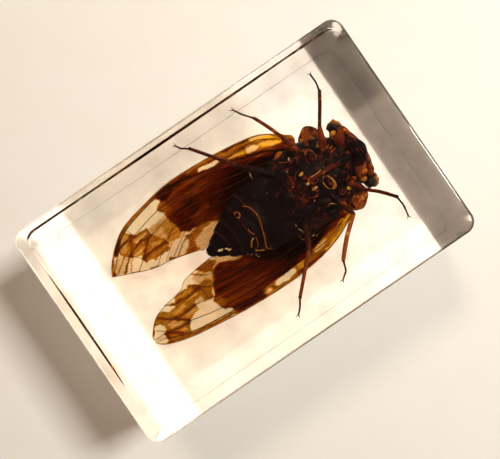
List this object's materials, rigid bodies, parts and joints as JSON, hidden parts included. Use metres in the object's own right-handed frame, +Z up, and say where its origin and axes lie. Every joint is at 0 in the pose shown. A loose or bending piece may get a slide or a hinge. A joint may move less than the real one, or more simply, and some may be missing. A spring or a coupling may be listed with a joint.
{
  "type": "insect in resin block",
  "caption": "Clear cast resin block, rounded along its edges, with a whole dried cicada sealed inside, belly up and wings spread back.",
  "frame": {"origin": "middle of the block's underside, the flat of its moulded front that it rests on in the picture", "axes": "+X along the block towards the insect's head, +Z up through the flat poured back, which the insect's belly faces, +Y towards the insect's wing that is uppermost in the picture"},
  "size_m": [0.06, 0.039, 0.022],
  "materials": {
    "resin": "clear cast resin, very slightly warm, polished on its flat back and as moulded elsewhere",
    "insect": "dried insect shell: black-brown body, red-brown and amber wings with clear cells towards their tips"
  },
  "bodies": {
    "root": {"resin_upper_half": "resin", "resin_lower_half": "resin", "cicada": "insect"}
  },
  "joints": []
}
